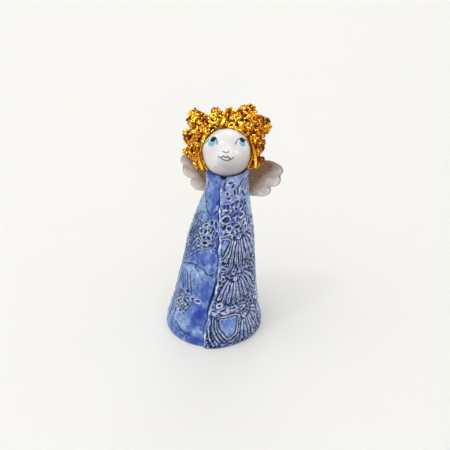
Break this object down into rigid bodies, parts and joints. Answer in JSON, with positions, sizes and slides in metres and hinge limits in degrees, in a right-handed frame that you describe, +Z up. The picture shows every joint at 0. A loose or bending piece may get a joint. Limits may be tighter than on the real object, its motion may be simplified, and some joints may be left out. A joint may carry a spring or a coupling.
{
  "type": "ceramic angel figurine",
  "caption": "Handmade glazed ceramic angel: a hollow lapped-slab dress with a lace imprint, a ball head with curly gold hair looking up, and small slab wings.",
  "frame": {"origin": "under the middle of the whole figurine's box, on the surface that it stands on", "axes": "+Z up, the dress's lapped front towards -Y, +X to the right as the front is seen"},
  "size_m": [0.0944, 0.0806, 0.1813],
  "materials": {
    "blue_glaze": "gloss cobalt glaze, pooled dark in a lace imprint and broken pale on its ridges",
    "bare_clay": "matt fired clay, unglazed",
    "white_glaze": "gloss clear glaze over white clay, with a painted face",
    "stained_white_glaze": "gloss glaze over white clay, stained brown with oxide in the hollows",
    "gold_lustre": "amber glaze with gold lustre, dark in the pits"
  },
  "bodies": {
    "root": {"dress_slab": "blue_glaze", "forehead_lock_left": "gold_lustre", "forehead_lock_right": "gold_lustre", "hair_back_01": "gold_lustre", "hair_back_02": "gold_lustre", "hair_back_03": "gold_lustre", "hair_back_04": "gold_lustre", "hair_back_05": "gold_lustre", "hair_back_06": "gold_lustre", "hair_back_07": "gold_lustre", "hair_crown_01": "gold_lustre", "hair_crown_02": "gold_lustre", "hair_crown_03": "gold_lustre", "hair_crown_04": "gold_lustre", "hair_crown_05": "gold_lustre", "hair_crown_06": "gold_lustre", "hair_crown_07": "gold_lustre", "hair_crown_08": "gold_lustre", "hair_crown_09": "gold_lustre", "hair_crown_10": "gold_lustre", "hair_hairline_01": "gold_lustre", "hair_hairline_02": "gold_lustre", "hair_hairline_03": "gold_lustre", "hair_hairline_04": "gold_lustre", "hair_hairline_05": "gold_lustre", "hair_hairline_06": "gold_lustre", "hair_hairline_07": "gold_lustre", "hair_hairline_08": "gold_lustre", "hair_hairline_09": "gold_lustre", "hair_hairline_10": "gold_lustre", "hair_hairline_11": "gold_lustre", "hair_nape_01": "gold_lustre", "hair_nape_02": "gold_lustre", "hair_nape_03": "gold_lustre", "hair_nape_04": "gold_lustre", "head_ball": "white_glaze", "neck_plug": "bare_clay", "side_lock_left": "gold_lustre", "side_lock_right": "gold_lustre", "wing_left": "stained_white_glaze", "wing_right": "stained_white_glaze"}
  },
  "joints": []
}
